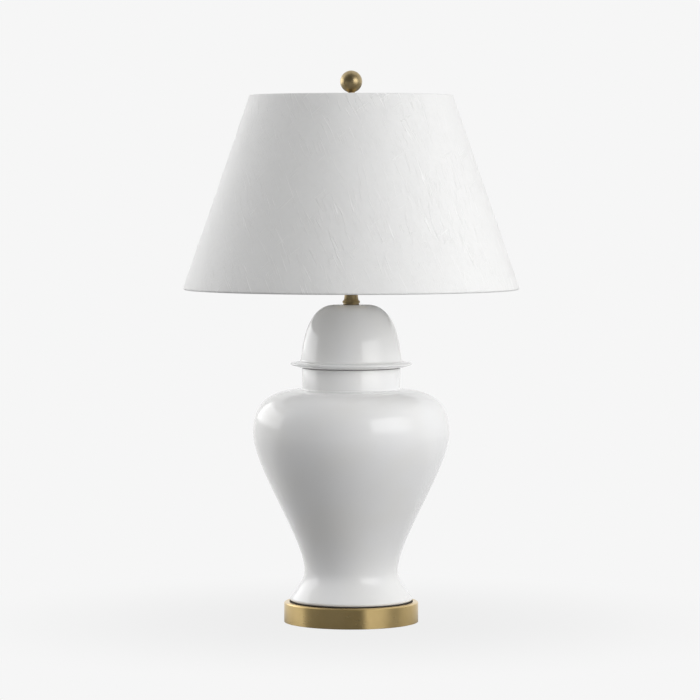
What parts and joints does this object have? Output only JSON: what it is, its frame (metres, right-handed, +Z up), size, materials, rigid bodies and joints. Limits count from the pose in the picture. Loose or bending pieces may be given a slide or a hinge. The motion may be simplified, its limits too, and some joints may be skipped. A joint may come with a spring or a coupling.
{
  "type": "table lamp",
  "caption": "Ginger jar table lamp: glossy white lidded ceramic jar on a round brass base, with a tapered white linen shade held on a harp by a ball finial.",
  "frame": {"origin": "centre of the felt's underside, where the lamp stands on the table", "axes": "+Z up along the lamp's axis, -Y the front with the switch, +Y the back with the cord inlet, the harp lies in the X-Z plane"},
  "size_m": [0.4568, 0.4568, 0.7507],
  "materials": {
    "brass_satin": "satin, brushed round the ring",
    "brass_antique": "darkened antique",
    "brass_bright": "polished, lacquered",
    "cast_iron": "painted sand casting",
    "fibreboard": "hard pressed",
    "felt": "felted wool",
    "black_plastic": "moulded",
    "rubber": "matte",
    "zinc_steel": "zinc plated",
    "white_glaze": "glossy white glaze",
    "fibre_paper": "vulcanised fibre",
    "brown_phenolic": "moulded phenolic",
    "aluminium": "bright",
    "solder": "tinned",
    "black_glass": "glossy",
    "white_plastic": "satin",
    "opal_globe": "opal, satin",
    "shade_linen": "laminated linen with raised slubs",
    "white_styrene": "smooth",
    "white_wire": "powder coated"
  },
  "bodies": {
    "lamp": {"base_cap": "brass_satin", "base_weight": "cast_iron", "base_board": "fibreboard", "felt_pad": "felt", "cord_bushing": "black_plastic", "foot_gasket": "rubber", "lamp_pipe": "zinc_steel", "pipe_flat_washer": "zinc_steel", "pipe_lock_washer": "zinc_steel", "pipe_hex_nut": "zinc_steel", "saddle_nut": "brass_bright", "jar_body": "white_glaze", "lid_gasket": "rubber", "jar_lid": "white_glaze", "neck_washer": "rubber", "brass_neck": "brass_antique", "harp_saddle": "brass_bright", "socket_cap": "brass_bright", "cap_set_screw": "zinc_steel", "socket_shell": "brass_bright", "socket_sleeve": "fibre_paper", "socket_cap_liner": "fibre_paper", "socket_body": "brown_phenolic", "terminal_screws": "brass_bright", "screw_shell": "aluminium", "centre_contact": "brass_bright"},
    "switch": {"switch_shaft": "brass_bright", "switch_knob": "black_plastic"},
    "bulb": {"bulb_contact": "solder", "bulb_insulator": "black_glass", "bulb_screw_cap": "aluminium", "bulb_housing": "white_plastic", "bulb_light_board": "aluminium", "bulb_globe": "opal_globe"},
    "harp": {"harp_loop": "brass_bright"},
    "ferrule_left": {"harp_ferrule_left": "brass_bright"},
    "ferrule_right": {"harp_ferrule_right": "brass_bright"},
    "stud": {"harp_stud": "brass_bright"},
    "shade": {"shade_cover": "shade_linen", "shade_liner": "white_styrene", "shade_bottom_ring": "white_wire", "shade_top_ring": "white_wire", "shade_hub": "brass_bright", "shade_arm_1": "brass_bright", "shade_arm_2": "brass_bright", "shade_arm_3": "brass_bright"},
    "finial": {"finial_stem": "brass_antique", "finial_ball": "brass_antique"}
  },
  "joints": [
    {"name": "switch_turn", "type": "hinge", "parent": "lamp", "child": "switch", "pos_m": [0, -0.03, 0.4911], "axis": [0, -1, 0], "continuous": true},
    {"name": "bulb_unscrew", "type": "slide", "parent": "lamp", "child": "bulb", "axis": [0, 0, 1], "range_m": [0, 0.026]},
    {"name": "harp_lift", "type": "slide", "parent": "lamp", "child": "harp", "axis": [0, 0, 1], "range_m": [0, 0.035]},
    {"name": "ferrule_left_slide", "type": "slide", "parent": "harp", "child": "ferrule_left", "axis": [0, 0, 1], "range_m": [0, 0.015]},
    {"name": "ferrule_right_slide", "type": "slide", "parent": "harp", "child": "ferrule_right", "axis": [0, 0, 1], "range_m": [0, 0.015]},
    {"name": "shade_turn", "type": "hinge", "parent": "harp", "child": "stud", "pos_m": [0, 0, 0.7], "axis": [0, 0, 1], "continuous": true},
    {"name": "shade_lift", "type": "slide", "parent": "stud", "child": "shade", "axis": [0, 0, 1], "range_m": [0, 0.3]},
    {"name": "finial_unscrew", "type": "slide", "parent": "shade", "child": "finial", "axis": [0, 0, 1], "range_m": [0, 0.012]}
  ]
}
